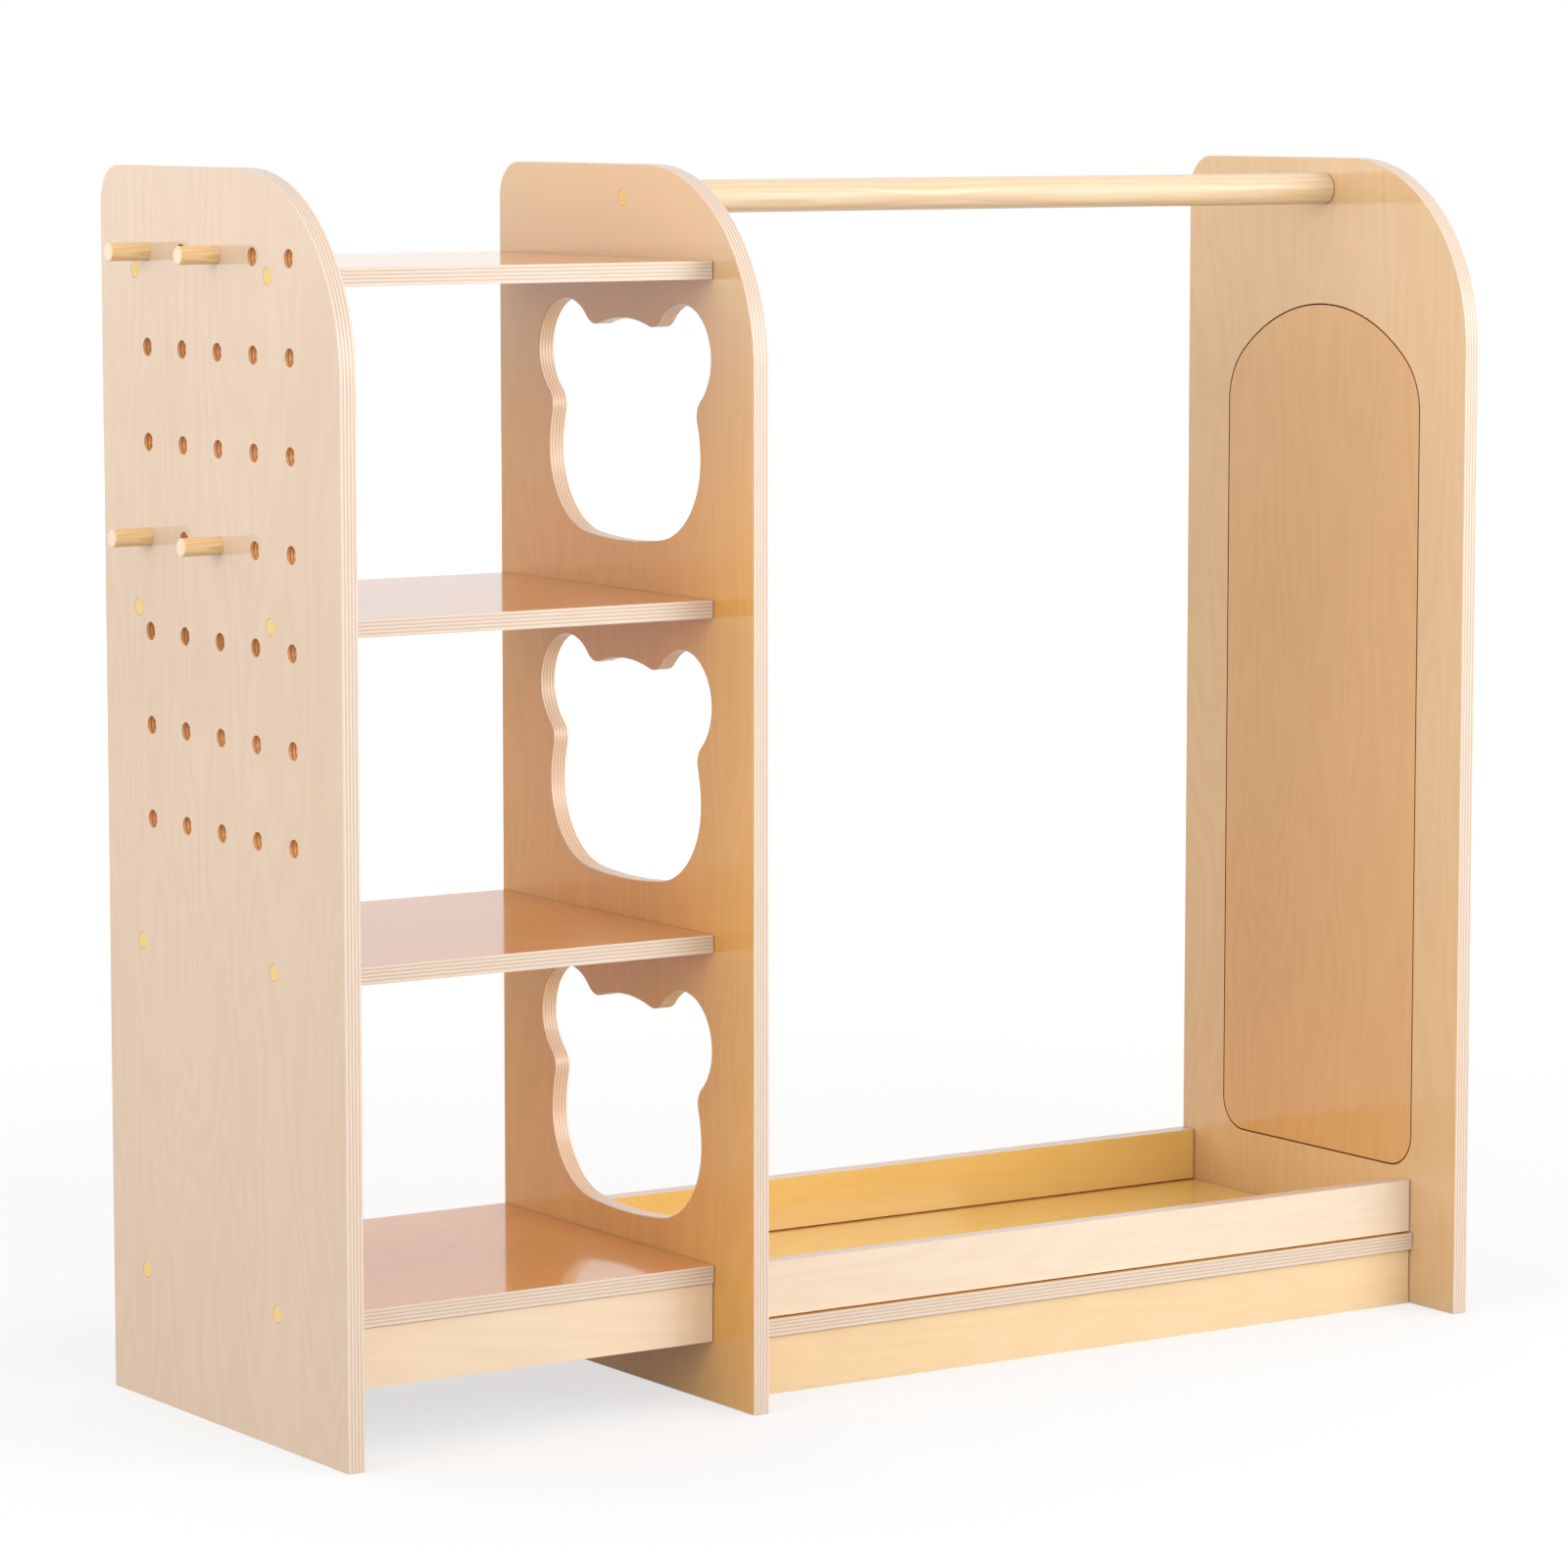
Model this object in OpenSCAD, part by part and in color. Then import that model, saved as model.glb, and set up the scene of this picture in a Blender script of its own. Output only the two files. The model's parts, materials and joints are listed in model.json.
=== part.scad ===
// Children's dress-up storage unit: a four-shelf column with a peg board on its
// outer side, and an open hanging bay with a rail, a low tray and an arched mirror.
// X runs from the peg board to the mirror, the open front faces -Y, Z is up.
// The origin is on the floor, midway between the peg tips and the mirror face,
// and midway between the front and the back edges of the upright panels.

/* [Overall] */
// Width over the two outer panels
unit_w = 1150; // [1000:5:1400]
// Height of the upright panels
unit_h = 1030; // [1000:5:1200]
// Depth of the upright panels
unit_d = 400; // [390:5:460]

/* [Upright panels] */
// Thickness of the three upright panels
panel_t = 15; // [14:0.5:18]
// Large rounded corner at the top front of a panel
front_corner_r = 165; // [60:5:190]
// Small rounded corner at the top back of a panel
back_corner_r = 30; // [5:1:60]
// Clear width of the shelf column, between the left and the middle panel
column_w = 370; // [300:5:450]

/* [Shelves] */
// Thickness of a shelf
shelf_t = 15; // [12:0.5:18]
// Depth of a shelf, from the back edge of the panels
shelf_d = 340; // [300:5:380]
// Height of the underside of the bottom shelf above the floor
bottom_shelf_z = 102; // [80:1:110]
// Distance from the panel's top edge down to the underside of the top shelf
top_shelf_drop = 92.5; // [85:0.5:100]
// Height of the plinth board under the bottom shelf
plinth_h = 50; // [30:1:60]
// Thickness of the plinth boards and the tray's front rail
board_t = 15; // [12:0.5:18]
// How far the shelf plinth stands behind the shelf's front edge
plinth_setback = 2; // [0:0.5:20]

/* [Peg board] */
// Diameter of a peg
peg_d = 15; // [10:0.5:20]
// Length of a peg
peg_l = 50; // [30:1:80]
// Radial clearance of a peg in its hole
peg_clearance = 0.1; // [0.03:0.01:0.1]
// Rounding chamfer on both ends of a peg
peg_chamfer = 0.8; // [0.3:0.1:2]
// Peg holes in one row
peg_columns = 5; // [3:1:5]
// Rows of peg holes
peg_rows = 7; // [4:1:7]
// Distance between peg holes in a row
peg_pitch_y = 60; // [55:1:65]
// Distance between rows of peg holes
peg_pitch_z = 78; // [76:0.5:80]
// Distance from the panel's top edge down to the first row
peg_top_drop = 70; // [68:0.5:72]

/* [Hanging rail] */
// Diameter of the hanging rail
rail_d = 28; // [20:1:35]
// Distance from the panel's top edge down to the rail's centre line
rail_drop = 28; // [26:1:60]

/* [Tray] */
// Height of the tray plinth, which the tray floor lies on
tray_plinth_h = 50; // [40:1:70]
// Thickness of the tray floor
tray_floor_t = 15; // [14:0.5:18]
// Depth of the tray floor, from the back edge of the panels
tray_floor_d = 342; // [300:1:380]
// Height of the tray's front and back rails above its floor
tray_rail_h = 48; // [35:1:100]
// Thickness of the tray's back rail
back_rail_t = 18; // [15:0.5:20]
// How far the tray floor's edge stands out in front of its rail and plinth
tray_lip = 4; // [0:0.5:10]

/* [Mirror] */
// Width of the arched opening through the right panel
arch_w = 276; // [220:2:300]
// Height of the foot of the arch above the floor
arch_foot_z = 123; // [115:1:160]
// Distance from the panel's top edge down to the crown of the arch
arch_crown_drop = 132; // [100:2:170]
// Height of the rounded head of the arch
arch_rise = 93; // [85:1:130]
// Radius of the arch's shoulders
arch_shoulder_r = 65; // [40:1:80]
// Radius of the arch's foot corners
arch_foot_r = 30; // [15:1:60]
// Thickness of the mirror sheet
mirror_t = 3; // [2:0.5:5]
// How far the mirror sheet overlaps the panel round the opening
mirror_lip = 8; // [4:0.5:14]
// Gap round the mirror sheet and its backing board
mirror_gap = 0.75; // [0.4:0.05:1]

/* [Bear openings] */
// Distance from the bottom shelf up to the lowest chin
bear_chin_gap = 24; // [18:1:30]
// Distance from the highest ears up to the top shelf
bear_ear_gap = 22; // [16:1:30]
// Width of the head across the cheeks
bear_head_w = 238; // [200:2:250]
// Radius of a cheek
bear_cheek_r = 70; // [60:1:78]
// Radius of the side of the head between cheek and ear
bear_side_r = 104; // [90:1:115]
// Radius of the chin
bear_chin_r = 495; // [300:5:700]
// Radius of the brow
bear_brow_r = 139; // [120:1:160]
// Height of the brow above the cheeks' centre
bear_brow_rise = 114; // [108:1:118]
// Radius of an ear
bear_ear_r = 44.5; // [38:0.5:48]
// Distance of an ear's centre from the middle of the head
bear_ear_x = 91; // [84:1:96]
// Height of an ear's centre above the cheeks' centre
bear_ear_rise = 83.5; // [78:0.5:88]
// Radius of the hollows between ear and brow, and ear and side
bear_hollow_r = 18; // [12:0.5:22]

/* [Fasteners] */
// Length of a screw
screw_l = 50; // [40:1:60]
// Diameter of a screw's plain shank
screw_shank_d = 7; // [5:0.5:8]
// Diameter of a screw's core behind the shank
screw_core_d = 5; // [3:0.5:5]
// Diameter of a screw's countersunk head
screw_head_d = 10; // [9:0.5:11]
// Height of a screw's countersunk head
screw_head_h = 3; // [2:0.5:4]
// Distance of the rear shelf screws from the panel's back edge
screw_back_inset = 60; // [40:1:75]
// Distance of the front shelf screws behind the shelf's front edge
screw_front_inset = 55; // [30:1:80]
// Diameter of a cover cap
cap_d = 14; // [12:0.5:16]
// Thickness of a cover cap, which lies flush in the panel
cap_t = 2; // [1.5:0.5:3]
// Diameter of a wooden dowel
dowel_d = 8; // [6:0.5:8]
// Length of a wooden dowel
dowel_l = 30; // [24:1:35]
// Depth of a dowel in the panel or board that it enters from the face
dowel_face_depth = 10; // [6:0.5:11]
// Distance of the outer rail dowels from the ends of a tray rail
rail_dowel_inset = 60; // [30:5:90]
// Distance of the plinth dowels from the ends of a plinth
plinth_dowel_inset = 120; // [110:5:150]

/* [Hidden] */
$fn = 96;

SHELVES = 4; // one below and one above each space of the column
BEARS = SHELVES - 1; // one opening into each space
RAIL_DOWELS = 3; // under each tray rail
PLINTH_DOWELS = 2; // on each plinth
OVERSHOOT = 0.5; // how far a cutter runs past an open face
ARC_SAG = 0.04; // most that a drawn arc's chords fall inside the true arc
HOLE_CLEARANCE = 0.1; // radial room round a screw, a dowel and a cap
END_ROOM = 1; // room past the tip of a screw or a dowel
SOCKET_D = 4.6; // hexagon socket of a screw, across its corners
SOCKET_DEPTH = 2.5;
SCREW_TIP_L = 4; // pointed end of a screw
CAP_CHAMFER = 0.4; // eased outer edge of a cap
CAP_STEM_D = 3.6; // stem that plugs the screw's socket
CAP_STEM_L = 2;
DOWEL_CHAMFER = 1;
PALE_PLY = [0.93, 0.82, 0.68];
WARM_PLY = [0.90, 0.74, 0.53];
PINE = [0.93, 0.79, 0.57];

// Places along X, from the outer face of the left panel
column_x = panel_t;
middle_x = column_x + column_w;
bay_x = middle_x + panel_t;
right_x = unit_w - panel_t;
bay_w = right_x - bay_x;
peg_out = peg_l - panel_t;

// Places along Y, from the back edge of the panels
mid_y = -unit_d / 2;
tray_board_y = tray_lip - tray_floor_d;
shelf_plinth_y = plinth_setback - shelf_d;
screw_ys = [-screw_back_inset, screw_front_inset - shelf_d];

// Places along Z, from the floor
tray_top_z = tray_plinth_h + tray_floor_t;
rail_z = unit_h - rail_drop;
arch_crown_z = unit_h - arch_crown_drop;
shelf_pitch = (unit_h - top_shelf_drop - bottom_shelf_z) / (SHELVES - 1);
function shelf_z(level) = bottom_shelf_z + level * shelf_pitch;

// A bear opening's own origin lies above its chin and below the tops of its ears.
// The lowest opening goes by the bottom shelf, the highest by the top shelf, and the rest are evenly between.
bear_chin_centre = sqrt((bear_chin_r - bear_cheek_r) ^ 2 - (bear_head_w / 2 - bear_cheek_r) ^ 2);
bear_chin_drop = bear_chin_r - bear_chin_centre;
lowest_bear_z = shelf_z(0) + shelf_t + bear_chin_gap + bear_chin_drop;
highest_bear_z = shelf_z(SHELVES - 1) - bear_ear_gap - bear_ear_rise - bear_ear_r;
function bear_z(i) = lowest_bear_z + i * (highest_bear_z - lowest_bear_z) / (BEARS - 1);

function peg_y(column) = mid_y + ((peg_columns - 1) / 2 - column) * peg_pitch_y;
function peg_z(row) = unit_h - peg_top_drop - row * peg_pitch_z;

// Screws: each is the point on the panel's face where it goes in, and its way along X
function shelf_screws_at(level) = [
    for (y = screw_ys, from_left = [true, false])
        [[from_left ? 0 : bay_x, y, shelf_z(level) + shelf_t / 2], from_left ? 1 : -1]
];
shelf_screws = [for (level = [0 : SHELVES - 1]) each shelf_screws_at(level)];
left_shelf_places = [for (s = shelf_screws) if (s[1] > 0) s];
middle_shelf_places = [for (s = shelf_screws) if (s[1] < 0) s];
rail_places = [[[middle_x, mid_y, rail_z], 1], [[unit_w, mid_y, rail_z], -1]];
tray_places = [
    for (y = screw_ys, from_left = [true, false])
        [[from_left ? middle_x : unit_w, y, tray_plinth_h + tray_floor_t / 2], from_left ? 1 : -1]
];
screw_shank_l = panel_t - cap_t;

// Dowels: each is a point where two boards meet, and the way into the board it enters from the face
front_rail_y = tray_board_y + board_t / 2;
back_rail_y = -back_rail_t / 2;
function spread(count, length, inset) =
    [for (i = [0 : count - 1]) inset + i * (length - 2 * inset) / (count - 1)];
function rail_dowels(y) = concat(
    [for (x = spread(RAIL_DOWELS, bay_w, rail_dowel_inset)) [[bay_x + x, y, tray_top_z], [0, 0, -1]]],
    [for (end = [[bay_x, -1], [right_x, 1]]) [[end[0], y, tray_top_z + tray_rail_h / 2], [end[1], 0, 0]]]
);
front_rail_joints = rail_dowels(front_rail_y);
back_rail_joints = rail_dowels(back_rail_y);
tray_plinth_joints = [
    for (x = spread(PLINTH_DOWELS, bay_w, plinth_dowel_inset))
        [[bay_x + x, front_rail_y, tray_plinth_h], [0, 0, 1]]
];
shelf_plinth_joints = [
    for (x = spread(PLINTH_DOWELS, column_w, plinth_dowel_inset))
        [[column_x + x, shelf_plinth_y + board_t / 2, bottom_shelf_z], [0, 0, 1]]
];

// ---- Placing ----

// Moves what is drawn from the left panel's outer face and the back edge to the unit's origin
module in_unit() {
    translate([(peg_out - unit_w) / 2, unit_d / 2, 0]) children();
}

// Stands an outline drawn in Y and Z up across the unit, from x on, t thick
module stand(x, t) {
    translate([x, 0, 0]) rotate([90, 0, 90]) linear_extrude(t) children();
}

// Points +X of what is drawn along each screw's way, from the face where the screw goes in
module at_screws(places) {
    for (p = places) translate(p[0]) mirror([p[1] < 0 ? 1 : 0, 0, 0]) children();
}

// Points +Z of what is drawn into the board that each dowel enters from the face
module at_dowels(joints) {
    for (j = joints) translate(j[0]) rotate(j[1].z < 0 ? [180, 0, 0] : [0, 90 * j[1].x, 0]) children();
}

// A square-edged board, from its lowest corner
module board(corner, size, colour = WARM_PLY) {
    color(colour) translate(corner) cube(size);
}

// ---- Outlines ----

function heading(from, to) = atan2(to.y - from.y, to.x - from.x);

// The left half of an outline whose right half ends on the middle line, from just past that last point
function mirrored(points) = [for (i = [len(points) - 2 : -1 : 0]) [-points[i].x, points[i].y]];

// Points on an arc from heading a to heading b, turning left, or right where way is -1.
// The first point is left out, because it is the last one of the arc before.
function arc(centre, r, a, b, way = 1) =
    let (
        sweep = ((way * (b - a)) % 360 + 360) % 360,
        steps = ceil(sweep / (2 * acos(1 - ARC_SAG / r)))
    )
    [for (i = [1 : steps]) centre + r * [cos(a + way * sweep * i / steps), sin(a + way * sweep * i / steps)]];

// The point at distance ra from a and rb from b, to the left of the way from a to b
function meeting_point(a, ra, b, rb) =
    let (
        d = norm(b - a),
        along = (ra ^ 2 - rb ^ 2 + d ^ 2) / (2 * d),
        aside = sqrt(max(0, ra ^ 2 - along ^ 2)),
        ahead = (b - a) / d
    )
    a + along * ahead + aside * [-ahead.y, ahead.x];

// One upright panel: square at the foot, a small round at the top back and a large one at the top front
module panel_outline() {
    back = [-back_corner_r, unit_h - back_corner_r];
    front = [front_corner_r - unit_d, unit_h - front_corner_r];
    polygon([[0, 0], [0, back.y], [back.x, unit_h], [front.x, unit_h], [-unit_d, front.y], [-unit_d, 0]]);
    translate(back) intersection() {
        circle(back_corner_r);
        square(back_corner_r);
    }
    translate(front) intersection() {
        circle(front_corner_r);
        translate([-front_corner_r, 0]) square(front_corner_r);
    }
}

// The mirror's arch, grown all round by margin: straight sides, rounded feet,
// and a head of one flat crown arc between two shoulder arcs
module arch_outline(margin) {
    half = arch_w / 2;
    foot = [half - arch_foot_r, arch_foot_z + arch_foot_r];
    shoulder = [half - arch_shoulder_r, arch_crown_z - arch_rise];
    crown_r = (shoulder.x ^ 2 + arch_rise ^ 2 - arch_shoulder_r ^ 2) / (2 * (arch_rise - arch_shoulder_r));
    crown = [0, arch_crown_z - crown_r];
    touch = heading(crown, shoulder);
    half_outline = concat(
        [[foot.x, arch_foot_z - margin]],
        arc(foot, arch_foot_r + margin, -90, 0),
        [[half + margin, shoulder.y]],
        arc(shoulder, arch_shoulder_r + margin, 0, touch),
        arc(crown, crown_r + margin, touch, 90)
    );
    translate([mid_y, 0]) polygon(concat(half_outline, mirrored(half_outline)));
}

// A plain bear's head, of arcs that run smoothly into one another. Its origin is midway between the cheeks.
module bear_outline() {
    cheek = [bear_head_w / 2 - bear_cheek_r, 0];
    side = [bear_head_w / 2 - bear_side_r, 0];
    ear = [bear_ear_x, bear_ear_rise];
    brow = [0, bear_brow_rise - bear_brow_r];
    chin = [0, bear_chin_centre];
    neck = meeting_point(ear, bear_ear_r + bear_hollow_r, side, bear_side_r + bear_hollow_r);
    dip = meeting_point(brow, bear_brow_r + bear_hollow_r, ear, bear_ear_r + bear_hollow_r);
    half_outline = concat(
        arc(chin, bear_chin_r, -90, heading(chin, cheek)),
        arc(cheek, bear_cheek_r, heading(chin, cheek), 0),
        arc(side, bear_side_r, 0, heading(side, neck)),
        arc(neck, bear_hollow_r, heading(neck, side), heading(neck, ear), -1),
        arc(ear, bear_ear_r, heading(ear, neck), heading(ear, dip)),
        arc(dip, bear_hollow_r, heading(dip, ear), heading(dip, brow), -1),
        arc(brow, bear_brow_r, heading(brow, dip), 90)
    );
    polygon(concat([[0, -bear_chin_drop]], half_outline, mirrored(half_outline)));
}

// ---- Fasteners ----

// A screw along +X under its cap: countersunk head, plain shank through the panel, thinner core beyond
module screw() {
    translate([cap_t, 0, 0]) rotate([0, 90, 0]) difference() {
        rotate_extrude() polygon([
            [0, 0], [screw_head_d / 2, 0],
            [screw_shank_d / 2, screw_head_h], [screw_shank_d / 2, screw_shank_l],
            [screw_core_d / 2, screw_shank_l], [screw_core_d / 2, screw_l - SCREW_TIP_L], [0, screw_l]
        ]);
        translate([0, 0, -OVERSHOOT]) cylinder(d = SOCKET_D, h = SOCKET_DEPTH + OVERSHOOT, $fn = 6);
    }
}

// The room that a screw and its cap need in the panel
module screw_seat() {
    shank_r = screw_shank_d / 2 + HOLE_CLEARANCE;
    head_r = screw_head_d / 2 + HOLE_CLEARANCE;
    rotate([0, 90, 0]) {
        translate([0, 0, -OVERSHOOT]) cylinder(d = cap_d + 2 * HOLE_CLEARANCE, h = cap_t + OVERSHOOT);
        translate([0, 0, cap_t]) cylinder(r1 = head_r, r2 = shank_r, h = screw_head_h);
        translate([0, 0, cap_t]) cylinder(r = shank_r, h = panel_t);
    }
}

// The pilot hole for a screw's core in the board behind the panel
module screw_pilot() {
    hole_l = screw_l - screw_shank_l + END_ROOM;
    translate([panel_t - OVERSHOOT, 0, 0]) rotate([0, 90, 0])
        cylinder(d = screw_core_d + 2 * HOLE_CLEARANCE, h = hole_l + OVERSHOOT);
}

// A flush cover cap, with a stem that plugs the screw's socket
module cap() {
    rotate([0, 90, 0]) rotate_extrude() polygon([
        [0, 0], [cap_d / 2 - CAP_CHAMFER, 0], [cap_d / 2, CAP_CHAMFER], [cap_d / 2, cap_t],
        [CAP_STEM_D / 2, cap_t], [CAP_STEM_D / 2, cap_t + CAP_STEM_L], [0, cap_t + CAP_STEM_L]
    ]);
}

// A round rod along +Z with chamfered ends
module chamfered_rod(d, l, chamfer) {
    rotate_extrude() polygon([
        [0, 0], [d / 2 - chamfer, 0], [d / 2, chamfer], [d / 2, l - chamfer], [d / 2 - chamfer, l], [0, l]
    ]);
}

// A wooden dowel along Z, across the joint at its origin
module dowel() {
    translate([0, 0, dowel_face_depth - dowel_l]) chamfered_rod(dowel_d, dowel_l, DOWEL_CHAMFER);
}

// The holes that a dowel needs in the two boards it joins
module dowel_room() {
    translate([0, 0, dowel_face_depth - dowel_l - END_ROOM])
        cylinder(d = dowel_d + 2 * HOLE_CLEARANCE, h = dowel_l + 2 * END_ROOM);
}

module screws(places) {
    color("silver") in_unit() at_screws(places) screw();
}

module caps(places) {
    color("khaki") in_unit() at_screws(places) cap();
}

module dowels(joints) {
    color(PINE) in_unit() at_dowels(joints) dowel();
}

// ---- Upright panels ----

// The outer panel of the shelf column, drilled right through as a peg board
module left_panel() {
    color(PALE_PLY) in_unit() difference() {
        stand(0, panel_t) panel_outline();
        for (column = [0 : peg_columns - 1], row = [0 : peg_rows - 1])
            translate([-OVERSHOOT, peg_y(column), peg_z(row)]) rotate([0, 90, 0])
                cylinder(d = peg_d + 2 * peg_clearance, h = panel_t + 2 * OVERSHOOT);
        at_screws(left_shelf_places) screw_seat();
    }
}

// The shared panel between the column and the hanging bay, with a bear's head cut through in each shelf space
module middle_panel() {
    color(WARM_PLY) in_unit() difference() {
        stand(middle_x, panel_t) panel_outline();
        for (i = [0 : BEARS - 1])
            stand(middle_x - OVERSHOOT, panel_t + 2 * OVERSHOOT) translate([mid_y, bear_z(i)]) bear_outline();
        at_screws(middle_shelf_places) screw_seat();
        at_screws([rail_places[0]]) screw_seat();
        at_screws([for (p = tray_places) if (p[1] > 0) p]) screw_seat();
        at_dowels([for (j = concat(front_rail_joints, back_rail_joints)) if (j[1].x < 0) j]) dowel_room();
    }
}

// The outer panel of the hanging bay, cut through for the mirror's backing and rebated for its sheet
module right_panel() {
    color(WARM_PLY) in_unit() difference() {
        stand(right_x, panel_t) panel_outline();
        stand(right_x - OVERSHOOT, panel_t + 2 * OVERSHOOT) arch_outline(0);
        stand(unit_w - mirror_t, mirror_t + OVERSHOOT) arch_outline(mirror_lip + mirror_gap);
        at_screws([rail_places[1]]) screw_seat();
        at_screws([for (p = tray_places) if (p[1] < 0) p]) screw_seat();
        at_dowels([for (j = concat(front_rail_joints, back_rail_joints)) if (j[1].x > 0) j]) dowel_room();
    }
}

// ---- Shelf column ----

// A shelf between the left and the middle panel, screwed through both
module shelf(level) {
    in_unit() difference() {
        board([column_x, -shelf_d, shelf_z(level)], [column_w, shelf_d, shelf_t]);
        at_screws(shelf_screws_at(level)) screw_pilot();
        if (level == 0) at_dowels(shelf_plinth_joints) dowel_room();
    }
}
module bottom_shelf() { shelf(0); }
module lower_shelf() { shelf(1); }
module upper_shelf() { shelf(2); }
module top_shelf() { shelf(3); }

// The board that stiffens the bottom shelf's front edge and leaves toe room below
module shelf_plinth() {
    in_unit() difference() {
        board([column_x, shelf_plinth_y, bottom_shelf_z - plinth_h], [column_w, board_t, plinth_h]);
        at_dowels(shelf_plinth_joints) dowel_room();
    }
}

// ---- Peg board pegs ----

// A peg pushed into a hole of the left panel until its inner end is flush
module peg(column, row) {
    color(PINE) in_unit() translate([panel_t, peg_y(column), peg_z(row)]) rotate([0, -90, 0])
        chamfered_rod(peg_d, peg_l, peg_chamfer);
}
module upper_rear_peg() { peg(0, 0); }
module upper_front_peg() { peg(2, 0); }
module lower_rear_peg() { peg(0, 3); }
module lower_front_peg() { peg(2, 3); }

// ---- Hanging bay ----

// The round rail that clothes hang from, butted between two panels and screwed at both ends
module hanging_rail() {
    color(PINE) in_unit() difference() {
        translate([bay_x, mid_y, rail_z]) rotate([0, 90, 0]) cylinder(d = rail_d, h = bay_w);
        at_screws(rail_places) screw_pilot();
    }
}

// The board at the foot of the bay, screwed through both panels and lying on the plinth
module tray_floor() {
    in_unit() difference() {
        board([bay_x, -tray_floor_d, tray_plinth_h], [bay_w, tray_floor_d, tray_floor_t]);
        at_screws(tray_places) screw_pilot();
        at_dowels(concat(front_rail_joints, back_rail_joints, tray_plinth_joints)) dowel_room();
    }
}

// The low board along the tray's front edge
module tray_front_rail() {
    in_unit() difference() {
        board([bay_x, tray_board_y, tray_top_z], [bay_w, board_t, tray_rail_h], PALE_PLY);
        at_dowels(front_rail_joints) dowel_room();
    }
}

// The low board along the tray's back edge, flush with the panels
module tray_back_rail() {
    in_unit() difference() {
        board([bay_x, -back_rail_t, tray_top_z], [bay_w, back_rail_t, tray_rail_h]);
        at_dowels(back_rail_joints) dowel_room();
    }
}

// The board under the tray floor's front edge, which stands on the floor
module tray_plinth() {
    in_unit() difference() {
        board([bay_x, tray_board_y, 0], [bay_w, board_t, tray_plinth_h], PALE_PLY);
        at_dowels(tray_plinth_joints) dowel_room();
    }
}

// ---- Mirror ----

// The arched mirror, flush in the outer face of the right panel
module mirror_sheet() {
    color("lightsteelblue") in_unit() stand(unit_w - mirror_t, mirror_t) arch_outline(mirror_lip);
}

// The arched board behind the mirror, flush with the panel's inner face
module mirror_backing() {
    color(WARM_PLY) in_unit() stand(right_x, panel_t - mirror_t) arch_outline(-mirror_gap);
}

// ---- Fastener groups ----

module left_shelf_screws() { screws(left_shelf_places); }
module left_shelf_caps() { caps(left_shelf_places); }
module middle_shelf_screws() { screws(middle_shelf_places); }
module middle_shelf_caps() { caps(middle_shelf_places); }
module rail_screws() { screws(rail_places); }
module rail_caps() { caps(rail_places); }
module tray_screws() { screws(tray_places); }
module tray_caps() { caps(tray_places); }
module shelf_plinth_dowels() { dowels(shelf_plinth_joints); }
module tray_plinth_dowels() { dowels(tray_plinth_joints); }
module front_rail_dowels() { dowels(front_rail_joints); }
module back_rail_dowels() { dowels(back_rail_joints); }

left_panel();
middle_panel();
right_panel();
bottom_shelf();
lower_shelf();
upper_shelf();
top_shelf();
shelf_plinth();
hanging_rail();
tray_floor();
tray_front_rail();
tray_back_rail();
tray_plinth();
mirror_sheet();
mirror_backing();
upper_rear_peg();
upper_front_peg();
lower_rear_peg();
lower_front_peg();
left_shelf_screws();
left_shelf_caps();
middle_shelf_screws();
middle_shelf_caps();
rail_screws();
rail_caps();
tray_screws();
tray_caps();
shelf_plinth_dowels();
tray_plinth_dowels();
front_rail_dowels();
back_rail_dowels();
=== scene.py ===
"""A children's dress-up storage unit in lacquered birch plywood, dressed for its picture.

X runs from the peg board to the mirror, the open front faces -Y, Z is up, in metres.
The boards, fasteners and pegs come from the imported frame, and each section finishes one kind of piece.
"""
import json
from math import cos, pi, radians, sin

import bmesh
import bpy
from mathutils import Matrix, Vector
from mathutils.bvhtree import BVHTree

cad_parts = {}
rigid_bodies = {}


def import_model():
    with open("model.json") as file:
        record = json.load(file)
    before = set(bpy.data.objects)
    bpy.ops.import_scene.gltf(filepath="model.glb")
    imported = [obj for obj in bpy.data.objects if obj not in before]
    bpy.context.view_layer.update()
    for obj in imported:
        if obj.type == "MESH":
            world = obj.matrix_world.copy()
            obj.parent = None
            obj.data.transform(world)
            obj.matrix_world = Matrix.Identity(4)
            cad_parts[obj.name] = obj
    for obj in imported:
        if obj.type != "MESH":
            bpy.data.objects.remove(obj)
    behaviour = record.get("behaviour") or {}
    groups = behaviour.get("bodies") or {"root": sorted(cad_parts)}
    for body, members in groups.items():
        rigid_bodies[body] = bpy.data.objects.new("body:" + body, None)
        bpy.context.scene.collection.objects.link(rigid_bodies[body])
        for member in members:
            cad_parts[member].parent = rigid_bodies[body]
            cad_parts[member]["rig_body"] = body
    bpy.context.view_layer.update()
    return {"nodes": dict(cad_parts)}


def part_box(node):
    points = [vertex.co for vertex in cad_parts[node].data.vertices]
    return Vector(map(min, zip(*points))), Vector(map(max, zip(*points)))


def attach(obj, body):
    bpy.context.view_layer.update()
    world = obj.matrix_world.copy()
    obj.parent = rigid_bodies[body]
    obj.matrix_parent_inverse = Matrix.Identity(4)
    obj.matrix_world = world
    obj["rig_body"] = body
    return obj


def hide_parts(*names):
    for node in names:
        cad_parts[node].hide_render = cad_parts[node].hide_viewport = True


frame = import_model()
nodes = frame["nodes"]
MM = 0.001

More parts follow.
